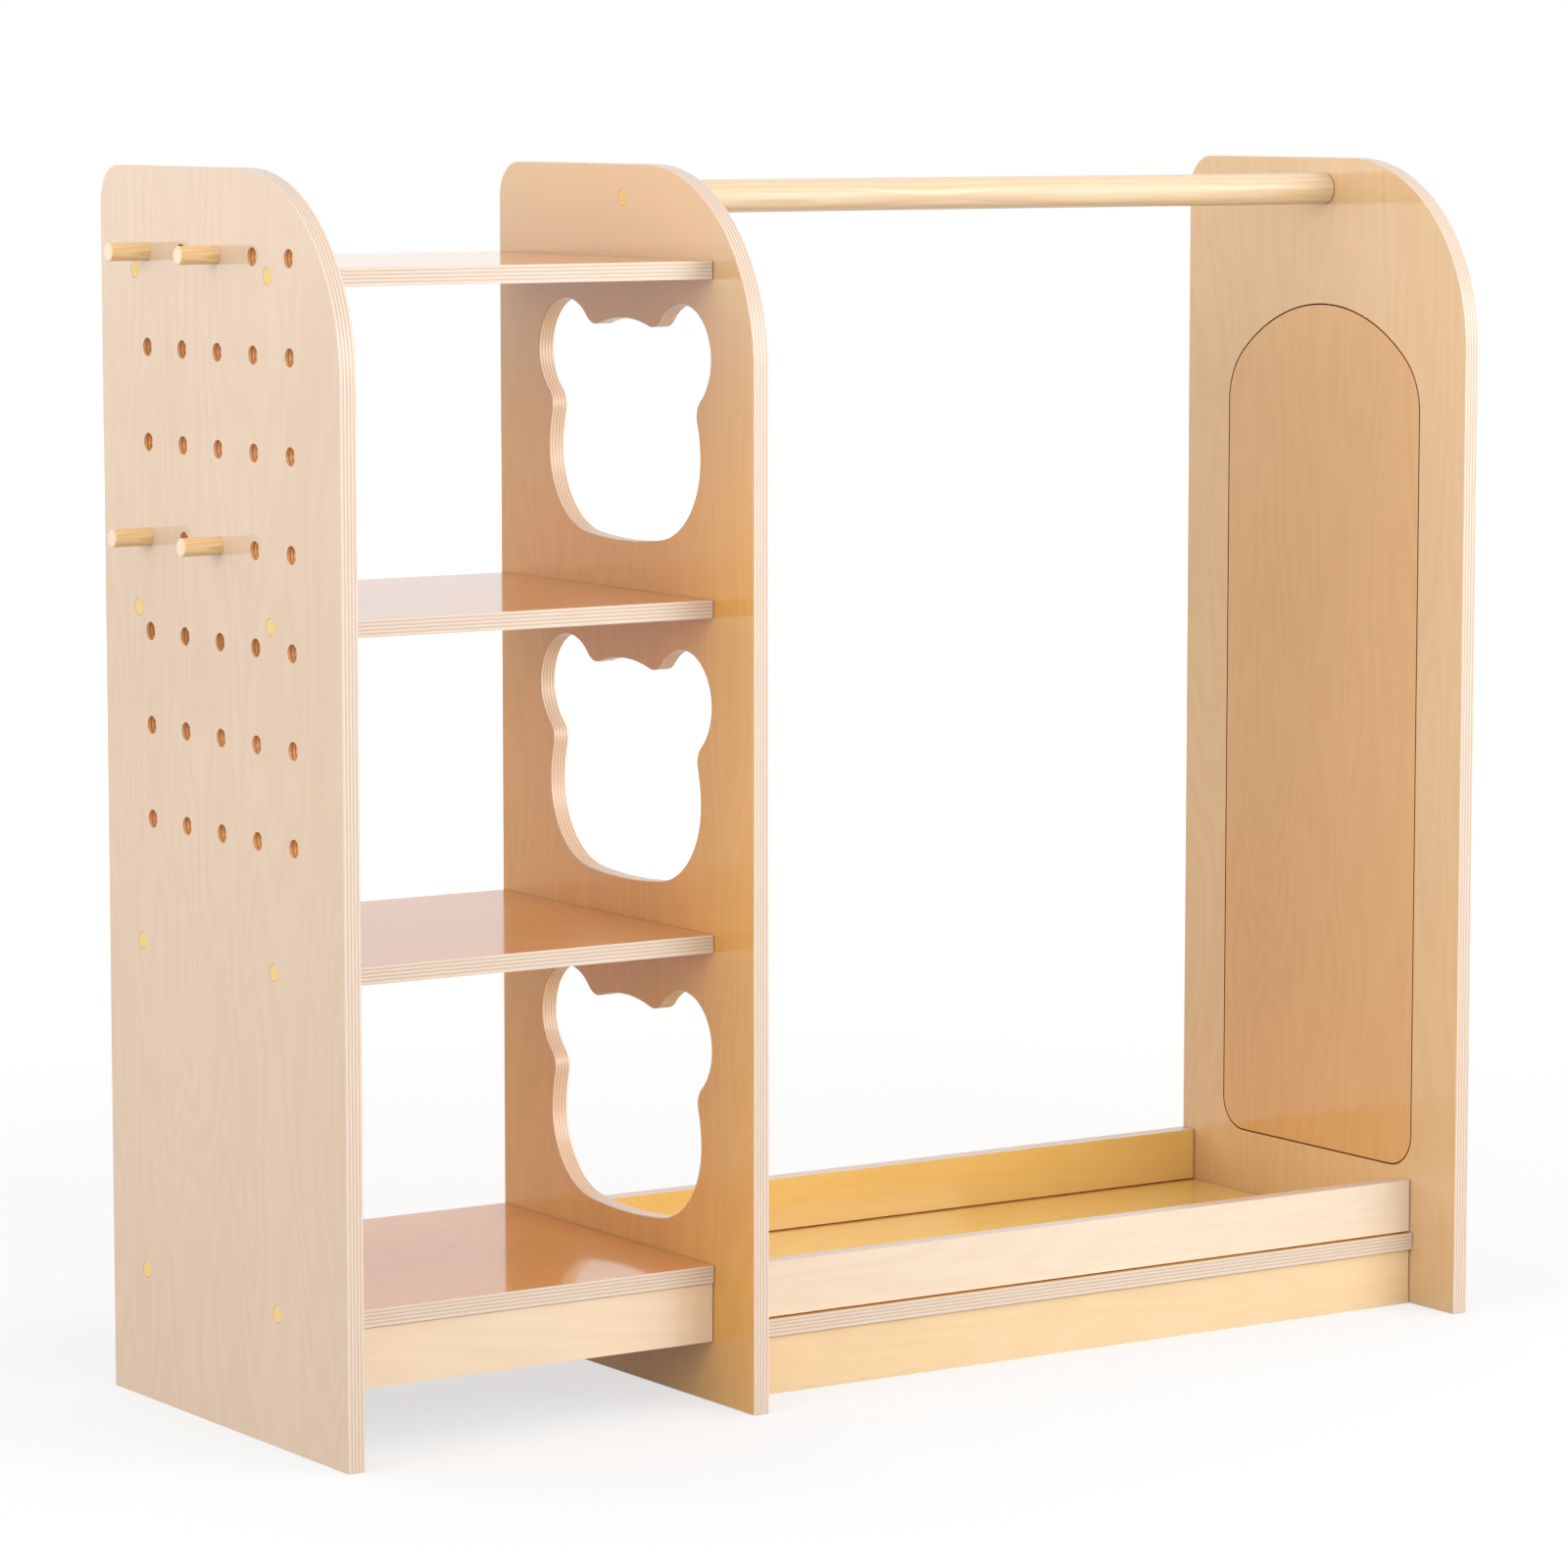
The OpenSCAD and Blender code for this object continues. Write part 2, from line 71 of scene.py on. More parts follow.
# ---- The photograph's view ----
# A long lens from the front left, a little above the unit's top edge, so the uprights stay almost parallel.
# Its place, turn and length come from the straight edges of the panels, the shelves and the tray.
camera_data = bpy.data.cameras.new("camera")
camera_data.lens = 138.72
camera_data.sensor_width = 36
camera_data.clip_end = 100
camera = bpy.data.objects.new("camera", camera_data)
camera.location = (-2.8695, -4.3056, 1.0988)
camera.rotation_euler = (radians(83.362), 0, radians(-33.589))
bpy.context.scene.collection.objects.link(camera)
bpy.context.scene.camera = camera

# ---- Left panel ----
# The outer upright of the shelf column, cut from 15 mm birch plywood and drilled through as a peg board.
# Its edges are eased by hand after routing, then the whole board gets a clear gloss lacquer.

X_AXIS, Y_AXIS, Z_AXIS = 0, 1, 2


def linear(hex_colour):
    """An sRGB colour such as "#E0C097" as a linear RGBA tuple."""
    channels = [int(hex_colour[i:i + 2], 16) / 255 for i in (1, 3, 5)]
    return tuple(c / 12.92 if c <= 0.04045 else ((c + 0.055) / 1.055) ** 2.4 for c in channels) + (1,)


def add(tree, kind, inputs=None, **settings):
    """Adds one shader node with its settings.

    An input is a value, another node's socket, or a node, which then gives its first output."""
    made = tree.nodes.new(kind)
    for name, value in settings.items():
        setattr(made, name, value)
    for socket, value in (inputs or {}).items():
        if isinstance(value, bpy.types.Node):
            value = value.outputs[0]
        if isinstance(value, bpy.types.NodeSocket):
            tree.links.new(value, made.inputs[socket])
        else:
            made.inputs[socket].default_value = value
    return made


def new_material(name):
    """An empty node material, with its node tree and output node."""
    material = bpy.data.materials.new(name)
    material.use_nodes = True
    tree = material.node_tree
    tree.nodes.clear()
    return material, tree, tree.nodes.new("ShaderNodeOutputMaterial")


SHEET_ACROSS, SHEET_ALONG = 731.0, 1270.0  # mm from one sheet's place in the log to the next one's


def place_on_board(tree, thickness_axis, grain_axis, sheet):
    """The place in mm as (across the grain, along the grain, through the thickness).

    Each board comes from another sheet of plywood, so no two show the same figure."""
    across_axis = 3 - thickness_axis - grain_axis
    place = add(tree, "ShaderNodeTexCoord").outputs["Object"]
    split = add(tree, "ShaderNodeSeparateXYZ", {0: place})
    turned = add(tree, "ShaderNodeCombineXYZ", {
        0: split.outputs[across_axis], 1: split.outputs[grain_axis], 2: split.outputs[thickness_axis]})
    in_mm = add(tree, "ShaderNodeVectorMath", {0: turned, "Scale": 1 / MM}, operation="SCALE")
    return add(tree, "ShaderNodeVectorMath", {
        0: in_mm, 1: (sheet * SHEET_ACROSS, sheet * SHEET_ALONG, 0)}, operation="ADD")


FACE_FILM = 0.09  # how rough the lacquer dries on a sanded face
EDGE_FILM = 0.3  # and on a sawn edge, which drinks part of it


def lacquered(tree, output, colour, roughness, bump_height, peel, film):
    """Wood under clear two-part gloss lacquer: a satin ground in the wood, and a film that mirrors the room.

    The grain shows a little relief, and the film's own surface has a very faint orange peel."""
    grain_bump = add(tree, "ShaderNodeBump", {"Strength": 0.25, "Distance": 0.05 * MM, "Height": bump_height})
    film_bump = add(tree, "ShaderNodeBump", {"Strength": 0.5, "Distance": 0.012 * MM, "Height": peel})
    shader = add(tree, "ShaderNodeBsdfPrincipled", {
        "Base Color": colour, "Roughness": roughness, "IOR": 1.5, "Specular IOR Level": 0.08,
        "Normal": grain_bump,
        "Coat Weight": 1.0, "Coat Roughness": film, "Coat IOR": 1.46, "Coat Normal": film_bump,
    })
    tree.links.new(shader.outputs[0], output.inputs[0])


# Sizes in the veneer and its lacquer, in mm across the grain, along it and through the thickness.
FLAME_MM = (95, 560, 400)  # one swell of the cut, which crosses FLAME_RINGS growth rings
CLOUD_MM = (170, 420, 400)
FIBRE_MM = (2.0, 85, 3)  # bundles of fibres, as the single ones are too fine to show
FLECK_MM = (0.8, 7, 3)
PEEL_MM = (9, 14, 9)
FLAME_RINGS = 17
FLAME_SHARE, CLOUD_SHARE, FIBRE_SHARE = 0.10, 0.55, 0.55  # of the way from the pale to the deep colour
# Painted light: an upright given an upper colour is painted paler towards its top, as a painted sheen.
UPPER_FROM, UPPER_TO = 700, 980  # mm above the floor between which an upright takes on its upper colour


def birch_veneer(name, thickness_axis, grain_axis, sheet, pale, deep, upper):
    """Rotary-cut birch face veneer: long nested flame lines, fine fibres and a few short dark flecks.

    From a few steps away it looks almost plain, so all of it stays within a few percent of the ground colour.
    An upright may be painted paler and less golden towards its top, where it takes the upper colour: a
    painted sheen."""
    material, tree, output = new_material(name)
    place = place_on_board(tree, thickness_axis, grain_axis, sheet)
    broad = add(tree, "ShaderNodeVectorMath", {0: place, 1: FLAME_MM}, operation="DIVIDE")
    cut_depth = add(tree, "ShaderNodeTexNoise", {
        "Vector": broad, "Scale": 1.0, "Detail": 2.0, "Roughness": 0.45, "Distortion": 0.2})
    rings_cut = add(tree, "ShaderNodeMath", {0: cut_depth, 1: 2 * pi * FLAME_RINGS}, operation="MULTIPLY")
    flames = add(tree, "ShaderNodeMath", {0: rings_cut}, operation="SINE")
    cloudy = add(tree, "ShaderNodeVectorMath", {0: place, 1: CLOUD_MM}, operation="DIVIDE")
    clouds = add(tree, "ShaderNodeTexNoise", {"Vector": cloudy, "Scale": 1.0, "Detail": 1.0})
    stretched = add(tree, "ShaderNodeVectorMath", {0: place, 1: FIBRE_MM}, operation="DIVIDE")
    fibres = add(tree, "ShaderNodeTexNoise", {
        "Vector": stretched, "Scale": 1.0, "Detail": 4.0, "Roughness": 0.65})
    short = add(tree, "ShaderNodeVectorMath", {0: place, 1: FLECK_MM}, operation="DIVIDE")
    fleck_field = add(tree, "ShaderNodeTexNoise", {"Vector": short, "Scale": 1.0, "Detail": 1.0})
    flecks = add(tree, "ShaderNodeMapRange", {
        "Value": fleck_field, "From Min": 0.70, "From Max": 0.80, "To Min": 0.0, "To Max": 0.25})

    figure = add(tree, "ShaderNodeMath", {
        0: flames, 1: FLAME_SHARE, 2: -FLAME_SHARE / 2}, operation="MULTIPLY_ADD")
    figure = add(tree, "ShaderNodeMath", {0: clouds, 1: CLOUD_SHARE, 2: figure}, operation="MULTIPLY_ADD")
    figure = add(tree, "ShaderNodeMath", {0: fibres, 1: FIBRE_SHARE, 2: figure}, operation="MULTIPLY_ADD")
    ground = add(tree, "ShaderNodeMix", {
        0: figure, 6: linear(pale), 7: linear(deep)}, data_type="RGBA").outputs[2]
    # Painted sheen: the upright's top is blended into the paler upper colour, for the lacquer's brighter
    # reflection up there.
    if upper:
        along = add(tree, "ShaderNodeSeparateXYZ", {0: place}).outputs[1]
        painted_top_blend = add(tree, "ShaderNodeMapRange", {
            "Value": along,
            "From Min": sheet * SHEET_ALONG + UPPER_FROM, "From Max": sheet * SHEET_ALONG + UPPER_TO,
            "To Min": 0.0, "To Max": 0.8}, interpolation_type="SMOOTHSTEP")
        ground = add(tree, "ShaderNodeMix", {
            0: painted_top_blend, 6: ground, 7: linear(upper)}, data_type="RGBA").outputs[2]
    ground = add(tree, "ShaderNodeMix", {
        0: flecks, 6: ground, 7: linear("#A8703C")}, data_type="RGBA").outputs[2]
    roughness = add(tree, "ShaderNodeMapRange", {
        "Value": fibres, "From Min": 0.3, "From Max": 0.7, "To Min": 0.38, "To Max": 0.50})
    rolled = add(tree, "ShaderNodeVectorMath", {0: place, 1: PEEL_MM}, operation="DIVIDE")
    peel = add(tree, "ShaderNodeTexNoise", {"Vector": rolled, "Scale": 1.0, "Detail": 1.0})
    lacquered(tree, output, ground, roughness, fibres, peel, FACE_FILM)
    return material


# The plies of 15 mm birch plywood from one face to the other, as shares of the thickness. The core
# plies run with and across the face grain by turns, so by turns they show long grain and end grain.
FACE_PLY = 0.045
LONG_PLY = 0.128
CROSS_PLY = 0.066
GLUE_LINE = 0.010
CORE_PLIES = 9
PLY_SWAY = 0.016  # how far a ply strays from its straight line

# Sizes in the plies, in mm along the same three directions as in the veneer.
SWAY_MM = (45, 45, 60)
LONG_FIBRE_MM = (0.7, 30, 1.2)
END_FIBRE_MM = (30, 0.7, 1.2)


def plywood_edge(name, thickness_axis, grain_axis, low, thickness, sheet,
                 long_colour, end_colour, glue_colour):
    """The cut edge of birch plywood: pale long-grain plies, thinner browner end-grain plies, fine glue lines.

    Sawn edges drink the lacquer, so their film stays less even and its shine is softer than on the faces."""
    material, tree, output = new_material(name)
    place = place_on_board(tree, thickness_axis, grain_axis, sheet)
    wavy = add(tree, "ShaderNodeVectorMath", {0: place, 1: SWAY_MM}, operation="DIVIDE")
    waves = add(tree, "ShaderNodeTexNoise", {"Vector": wavy, "Scale": 1.0, "Detail": 2.0})
    through = add(tree, "ShaderNodeSeparateXYZ", {0: place}).outputs[2]
    depth = add(tree, "ShaderNodeMapRange", {
        "Value": through, "From Min": low / MM, "From Max": (low + thickness) / MM,
        "To Min": -PLY_SWAY / 2, "To Max": 1 - PLY_SWAY / 2}, clamp=False)
    depth = add(tree, "ShaderNodeMath", {0: waves, 1: PLY_SWAY, 2: depth}, operation="MULTIPLY_ADD")

    layers = [(FACE_PLY, long_colour, 0.0)]
    for i in range(CORE_PLIES):
        layers.append((CROSS_PLY, end_colour, 1.0) if i % 2 else (LONG_PLY, long_colour, 0.0))
    layers.append((FACE_PLY, long_colour, 0.0))
    stops = []
    at = 0.0
    for share, colour, is_end in layers:
        stops.append((at, colour, is_end))
        at += share
        stops.append((at - GLUE_LINE / 2, glue_colour, is_end))
        at += GLUE_LINE / 2
    stops.pop()  # no glue line follows the last ply
    plies = add(tree, "ShaderNodeValToRGB", {0: depth})
    plies.color_ramp.interpolation = "CONSTANT"
    for _ in stops[2:]:  # a new ramp comes with two stops
        plies.color_ramp.elements.new(1.0)
    for stop, (at, colour, is_end) in zip(plies.color_ramp.elements, stops):
        stop.position = at
        stop.color = linear(colour)[:3] + (is_end,)  # the alpha tells which grain the ply shows

    lengthwise = add(tree, "ShaderNodeVectorMath", {0: place, 1: LONG_FIBRE_MM}, operation="DIVIDE")
    long_grain = add(tree, "ShaderNodeTexNoise", {
        "Vector": lengthwise, "Scale": 1.0, "Detail": 3.0, "Roughness": 0.6})
    crosswise = add(tree, "ShaderNodeVectorMath", {0: place, 1: END_FIBRE_MM}, operation="DIVIDE")
    end_grain = add(tree, "ShaderNodeTexNoise", {
        "Vector": crosswise, "Scale": 1.0, "Detail": 3.0, "Roughness": 0.6})
    grain = add(tree, "ShaderNodeMix", {0: plies.outputs["Alpha"], 2: long_grain, 3: end_grain})
    streaks = add(tree, "ShaderNodeMapRange", {
        "Value": grain, "From Min": 0.3, "From Max": 0.72, "To Min": 0.0, "To Max": 0.4})
    ground = add(tree, "ShaderNodeMix", {
        0: streaks, 6: plies, 7: linear(end_colour)}, data_type="RGBA").outputs[2]
    roughness = add(tree, "ShaderNodeMapRange", {
        "Value": grain, "From Min": 0.3, "From Max": 0.7, "To Min": 0.45, "To Max": 0.6})
    lacquered(tree, output, ground, roughness, grain, grain, EDGE_FILM)
    return material


# Painted shade: the fine groove in a joint between two boards is painted dark brown, for the shade that falls
# into it.
JOINT_MOTTLES_PER_M = 250  # clots of about 4 mm
painted_joint_shadow, tree, output = new_material("painted_joint_shadow")
place = add(tree, "ShaderNodeTexCoord").outputs["Object"]
joint_mottle = add(tree, "ShaderNodeTexNoise", {"Vector": place, "Scale": JOINT_MOTTLES_PER_M, "Detail": 3.0})
groove_colour = add(tree, "ShaderNodeMix", {
    0: joint_mottle, 6: linear("#9C5024"), 7: linear("#6C3014")}, data_type="RGBA").outputs[2]
groove_roughness = add(tree, "ShaderNodeMapRange", {
    "Value": joint_mottle, "From Min": 0.3, "From Max": 0.7, "To Min": 0.75, "To Max": 0.9})
shader = add(tree, "ShaderNodeBsdfPrincipled", {
    "Base Color": groove_colour, "Roughness": groove_roughness, "IOR": 1.5, "Specular IOR Level": 0.2})
tree.links.new(shader.outputs[0], output.inputs[0])

EASED_R = 0.9 * MM  # how far sandpaper rounds an edge that hands can reach
BROKEN = 0.8 * MM  # how far an edge inside a joint is broken with one stroke of a block
MEETING = 1.0 * MM  # what lies this close to another piece belongs to a joint
DRILLED = 16 * MM  # a wall that faces its own board across this little is the wall of a drilled hole
ROUTED = 400 * MM  # and across this much it is the wall of a routed opening
WELDED = 0.005 * MM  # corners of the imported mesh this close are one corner
FLAT = radians(0.3)  # triangles that turn less than this are one face
CORNER = radians(40)  # an edge that turns more than this is worked by hand
SHADED_SHARP = radians(32)  # and one that turns more than this keeps a sharp shade
FACE_ON = 0.999  # a face that looks this squarely along the thickness is one of the board's two faces
LIFT = 0.1 * MM  # how far off a wall the look across an opening starts

surfaces = {
    name: BVHTree.FromPolygons([v.co for v in o.data.vertices], [p.vertices for p in o.data.polygons])
    for name, o in nodes.items() if o["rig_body"] == "unit"
}


def near(place, pieces):
    """Whether any of the pieces comes within the meeting distance of a place."""
    return any(surfaces[piece].find_nearest(place, MEETING)[0] is not None for piece in pieces)


def blank(node):
    """A copy of the node's own mesh to work on, welded, and with each flat face in one."""
    shape = bmesh.new()
    shape.from_mesh(nodes[node].data)
    bmesh.ops.remove_doubles(shape, verts=shape.verts, dist=WELDED)
    bmesh.ops.dissolve_limit(shape, angle_limit=FLAT, verts=shape.verts, edges=shape.edges)
    return shape


def corners(shape, fasteners):
    """The edges to work by hand, each with its middle. Those at a fastener's hole stay as drilled."""
    found = []
    for edge in shape.edges:
        if edge.is_manifold and edge.calc_face_angle() >= CORNER:
            middle = (edge.verts[0].co + edge.verts[1].co) / 2
            if not near(middle, fasteners):
                found.append((edge, middle))
    return found


def fit(shape, name, node, materials):
    """Puts the worked shape into the unit as a piece that stands in for its node."""
    mesh = bpy.data.meshes.new(name)
    shape.to_mesh(mesh)
    shape.free()
    mesh.set_sharp_from_angle(angle=SHADED_SHARP)
    for material in materials:
        mesh.materials.append(material)
    piece = bpy.data.objects.new(name, mesh)
    bpy.context.scene.collection.objects.link(piece)
    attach(piece, "unit")
    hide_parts(node)
    return piece


# The long-grain, end-grain and glue colours of a board's outer edge, of a drilled hole's wall and of a routed
# opening's wall. The outer edge is paler in part as a painted sheen of the lacquer, a drilled wall is more
# orange as painted shade and warm bounce light in the hole, and a routed wall is warmer as painted bounce
# light.
OUTER_EDGE = ("#D6C8BA", "#C8B098", "#985C38")
DRILLED_EDGE = ("#F4C48C", "#C88648", "#844A20")
ROUTED_EDGE = ("#E4CDB4", "#D2AE8C", "#925428")
VENEERED, OUTER_WALL, GROOVED, DRILLED_WALL, ROUTED_WALL = range(5)  # a board's materials in their order


def board(node, thickness_axis, grain_axis, sheet, pale, deep, broken=BROKEN, upper=None):
    """Makes the finished board of a node, with veneer on the faces and plies on the edges.

    Free edges are eased. Edges that meet another board are only broken, and their groove is painted dark as
    painted shade."""
    low, high = (corner[thickness_axis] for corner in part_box(node))
    others = [other for other in surfaces if other != node]
    fasteners = [other for other in others if other.endswith(("screws", "caps", "dowels"))]
    boards = [other for other in others if other not in fasteners]

    shape = blank(node)
    free_edges, joint_edges = [], []
    for edge, middle in corners(shape, fasteners):
        (joint_edges if near(middle, boards) else free_edges).append(edge)
    bmesh.ops.bevel(
        shape, geom=joint_edges, affect="EDGES", offset_type="OFFSET", offset=broken,
        segments=1, clamp_overlap=True, material=GROOVED)
    free_edges = [edge for edge in free_edges if edge.is_valid]
    bmesh.ops.bevel(
        shape, geom=free_edges, affect="EDGES", offset_type="OFFSET", offset=EASED_R,
        segments=3, profile=0.5, clamp_overlap=True, miter_outer="SHARP")
    for face in shape.faces:
        face.smooth = True
        centre = face.calc_center_median()
        if face.material_index == GROOVED:
            continue
        if abs(face.normal[thickness_axis]) > FACE_ON:
            face.material_index = VENEERED
        elif near(centre, boards):
            face.material_index = GROOVED
        else:
            start = centre + LIFT * face.normal
            across = surfaces[node].ray_cast(start, face.normal, ROUTED)[3]
            if across is None:
                face.material_index = OUTER_WALL
            else:
                face.material_index = DRILLED_WALL if across < DRILLED else ROUTED_WALL

    cut = (thickness_axis, grain_axis, low, high - low, sheet)
    piece = fit(shape, node + "_board", node, (
        birch_veneer(node + "_veneer", thickness_axis, grain_axis, sheet, pale, deep, upper),
        plywood_edge(node + "_plies", *cut, *OUTER_EDGE),
        painted_joint_shadow,
        plywood_edge(node + "_drilled_plies", *cut, *DRILLED_EDGE),
        plywood_edge(node + "_routed_plies", *cut, *ROUTED_EDGE)))
    shading = piece.modifiers.new("flat faces stay flat", "WEIGHTED_NORMAL")
    shading.keep_sharp = True


# Its pale colour is in part the veneer's own and in part a painted sheen of the lacquer on its outer face.
board("left_panel", X_AXIS, Z_AXIS, sheet=1, pale="#DAC1AB", deep="#CDB091")

# ---- Shelves ----
# Four 15 mm birch plywood shelves, butted between the left and the middle panel and screwed through both.
# Their face grain runs from side to side, and the gloss lacquer mirrors what stands beyond them.
# Their deep orange is in part painted reflection, for the golden shade of the middle panel that their tops
# mirror.
for sheet, shelf in enumerate(("bottom_shelf", "lower_shelf", "upper_shelf", "top_shelf"), start=11):
    board(shelf, Z_AXIS, X_AXIS, sheet, pale="#DD9842", deep="#CE8631")

# ---- Shelf plinth ----
# A low board of the same plywood, with its grain along the shelf and an eased lower edge.
# It is dowelled and glued under the bottom shelf's front edge, and stays clear of the floor.
# Its paler colour is in part a painted sheen on its front face.
board("shelf_plinth", Y_AXIS, X_AXIS, sheet=21, pale="#E4CEB4", deep="#D8BE9C")

# ---- Middle panel ----
# The upright between the column and the hanging bay, with a bear's head routed through in each shelf space.
# The same plywood and lacquer as the left panel, of a warmer veneer whose top is painted paler, a painted
# sheen.
board("middle_panel", X_AXIS, Z_AXIS, sheet=31, pale="#E9B564", deep="#DCA14D",
      upper="#CFB18B")

# ---- Tray ----
# The foot of the hanging bay: a floor board on a front plinth, with low rails along its front and back edges.
# Birch plywood with its grain along the bay, dowelled and glued: yellow-toned in the floor and back rail, and
# paler in the plinth and front rail, in part as a painted sheen on their front faces. The plinth's and the
# rails' edges are broken more, and their grooves, painted dark as shade, run as a brown line along the
# joints.
board("tray_plinth", Y_AXIS, X_AXIS, sheet=41, pale="#E6CAA3", deep="#DAB98A",
      broken=1.2 * MM)
board("tray_floor", Z_AXIS, X_AXIS, sheet=42, pale="#EBC979", deep="#E0B465")
board("tray_front_rail", Y_AXIS, X_AXIS, sheet=43, pale="#E1D1BC", deep="#D6BFA5",
      broken=1.3 * MM)
board("tray_back_rail", Y_AXIS, X_AXIS, sheet=44, pale="#DEBA70", deep="#D2AA5E",
      broken=1.3 * MM)

# ---- Right panel and the board behind the mirror ----
# The outer upright of the hanging bay, routed through in an arch. The 12 mm arched board fills the opening
# from inside and carries the mirror. It comes from a pinker sheet, and the gap round it shows as a line.
board("right_panel", X_AXIS, Z_AXIS, sheet=51, pale="#E4C395", deep="#D8B080",
      broken=0.35 * MM)
board("mirror_backing", X_AXIS, Z_AXIS, sheet=52, pale="#E0B47C", deep="#D4A267",
      broken=0.35 * MM)

# ---- Mirror ----
# A 3 mm silvered acrylic sheet, glued flush into the outer face of the right panel.
# Its image is almost clear, with the faint cool tint and the very slight waves of cast acrylic.


def dress(node, material):
    """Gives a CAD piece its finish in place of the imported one."""
    for material_slot in nodes[node].material_slots:
        material_slot.material = material


WAVES_PER_M = 9  # each about 110 mm long
HAZE_PER_M = 40  # in patches of 25 mm
silvered_acrylic, tree, output = new_material("silvered_acrylic")
place = add(tree, "ShaderNodeTexCoord").outputs["Object"]
waves = add(tree, "ShaderNodeTexNoise", {"Vector": place, "Scale": WAVES_PER_M, "Detail": 1.0})
haze = add(tree, "ShaderNodeTexNoise", {"Vector": place, "Scale": HAZE_PER_M, "Detail": 3.0})
wave_bump = add(tree, "ShaderNodeBump", {"Strength": 0.15, "Distance": 0.3 * MM, "Height": waves})
silver_roughness = add(tree, "ShaderNodeMapRange", {
    "Value": haze, "From Min": 0.3, "From Max": 0.8, "To Min": 0.015, "To Max": 0.04})
shader = add(tree, "ShaderNodeBsdfPrincipled", {
    "Base Color": linear("#E9EEEF"), "Metallic": 1.0,
    "Roughness": silver_roughness, "Normal": wave_bump})
tree.links.new(shader.outputs[0], output.inputs[0])
dress("mirror_sheet", silvered_acrylic)

# ---- Hanging rail ----
# A 28 mm round of planed pine with its growth rings cut lengthwise, butted between the two panels.
# Its lacquer has a soft sheen, and the broken rims of its ends are painted dark, a painted shade round each
# joint.

# Sizes in a round rod in mm: aside from its middle, along it, and up from its middle.
HEART_MM = (18, 0, 5)  # how far the rod was cut from the log's heart
STRAY_MM = (16, 0, 8)  # how far the rings stray on their way along the rod
STRAY_LENGTH_MM = (60, 180, 60)
ROD_FIBRE_MM = (0.8, 35, 0.8)
LATE_WOOD = 0.82  # of each year's ring, where its wood is darkest
RING_SHARE, ROD_FIBRE_SHARE, PALER = 0.55, 0.5, -0.12  # of the way from the pale to the deep colour


def round_wood(name, middle, grain_axis, ring_mm, pale, deep, end_colour, film=FACE_FILM):
    """A rod cut beside the heart of the log.

    Its growth rings run along it as flame lines and close on its end, which takes a colour of its own."""
    material, tree, output = new_material(name)
    place = add(tree, "ShaderNodeTexCoord").outputs["Object"]
    from_middle = add(tree, "ShaderNodeVectorMath", {0: place, 1: middle}, operation="SUBTRACT")
    split = add(tree, "ShaderNodeSeparateXYZ", {0: from_middle})
    aside, upward = [axis for axis in range(3) if axis != grain_axis]
    turned = add(tree, "ShaderNodeCombineXYZ", {
        0: split.outputs[aside], 1: split.outputs[grain_axis], 2: split.outputs[upward]})
    in_mm = add(tree, "ShaderNodeVectorMath", {0: turned, "Scale": 1 / MM}, operation="SCALE")
    straying = add(tree, "ShaderNodeVectorMath", {0: in_mm, 1: STRAY_LENGTH_MM}, operation="DIVIDE")
    stray = add(tree, "ShaderNodeTexNoise", {"Vector": straying, "Scale": 1.0, "Detail": 1.5})
    strayed = add(tree, "ShaderNodeVectorMath", {
        0: stray.outputs["Color"], 1: STRAY_MM, 2: in_mm}, operation="MULTIPLY_ADD")
    from_heart = add(tree, "ShaderNodeVectorMath", {0: strayed, 1: HEART_MM}, operation="ADD")
    crosscut = add(tree, "ShaderNodeVectorMath", {0: from_heart, 1: (1, 0, 1)}, operation="MULTIPLY")
    radius = add(tree, "ShaderNodeVectorMath", {0: crosscut}, operation="LENGTH").outputs["Value"]
    year = add(tree, "ShaderNodeMath", {0: radius, 1: ring_mm}, operation="DIVIDE")
    season = add(tree, "ShaderNodeMath", {0: year}, operation="FRACT")
    late_wood = add(tree, "ShaderNodeValToRGB", {0: season})
    late_wood.color_ramp.elements[1].position = LATE_WOOD
    late_wood.color_ramp.elements.new(1.0).color = (0, 0, 0, 1)
    stretched = add(tree, "ShaderNodeVectorMath", {0: in_mm, 1: ROD_FIBRE_MM}, operation="DIVIDE")
    fibres = add(tree, "ShaderNodeTexNoise", {
        "Vector": stretched, "Scale": 1.0, "Detail": 3.0, "Roughness": 0.6})
    figure = add(tree, "ShaderNodeMath", {
        0: late_wood, 1: RING_SHARE, 2: PALER}, operation="MULTIPLY_ADD")
    figure = add(tree, "ShaderNodeMath", {
        0: fibres, 1: ROD_FIBRE_SHARE, 2: figure}, operation="MULTIPLY_ADD")
    ground = add(tree, "ShaderNodeMix", {
        0: figure, 6: linear(pale), 7: linear(deep)}, data_type="RGBA").outputs[2]
    facing = add(tree, "ShaderNodeSeparateXYZ", {0: add(tree, "ShaderNodeNewGeometry").outputs["Normal"]})
    along = add(tree, "ShaderNodeMath", {0: facing.outputs[grain_axis]}, operation="ABSOLUTE")
    at_end = add(tree, "ShaderNodeMapRange", {
        "Value": along, "From Min": 0.88, "From Max": 0.92, "To Min": 0.0, "To Max": 0.7})
    ground = add(tree, "ShaderNodeMix", {
        0: at_end, 6: ground, 7: linear(end_colour)}, data_type="RGBA").outputs[2]
    roughness = add(tree, "ShaderNodeMapRange", {
        "Value": fibres, "From Min": 0.3, "From Max": 0.7, "To Min": 0.35, "To Max": 0.5})
    lacquered(tree, output, ground, roughness, fibres, fibres, film)
    return material


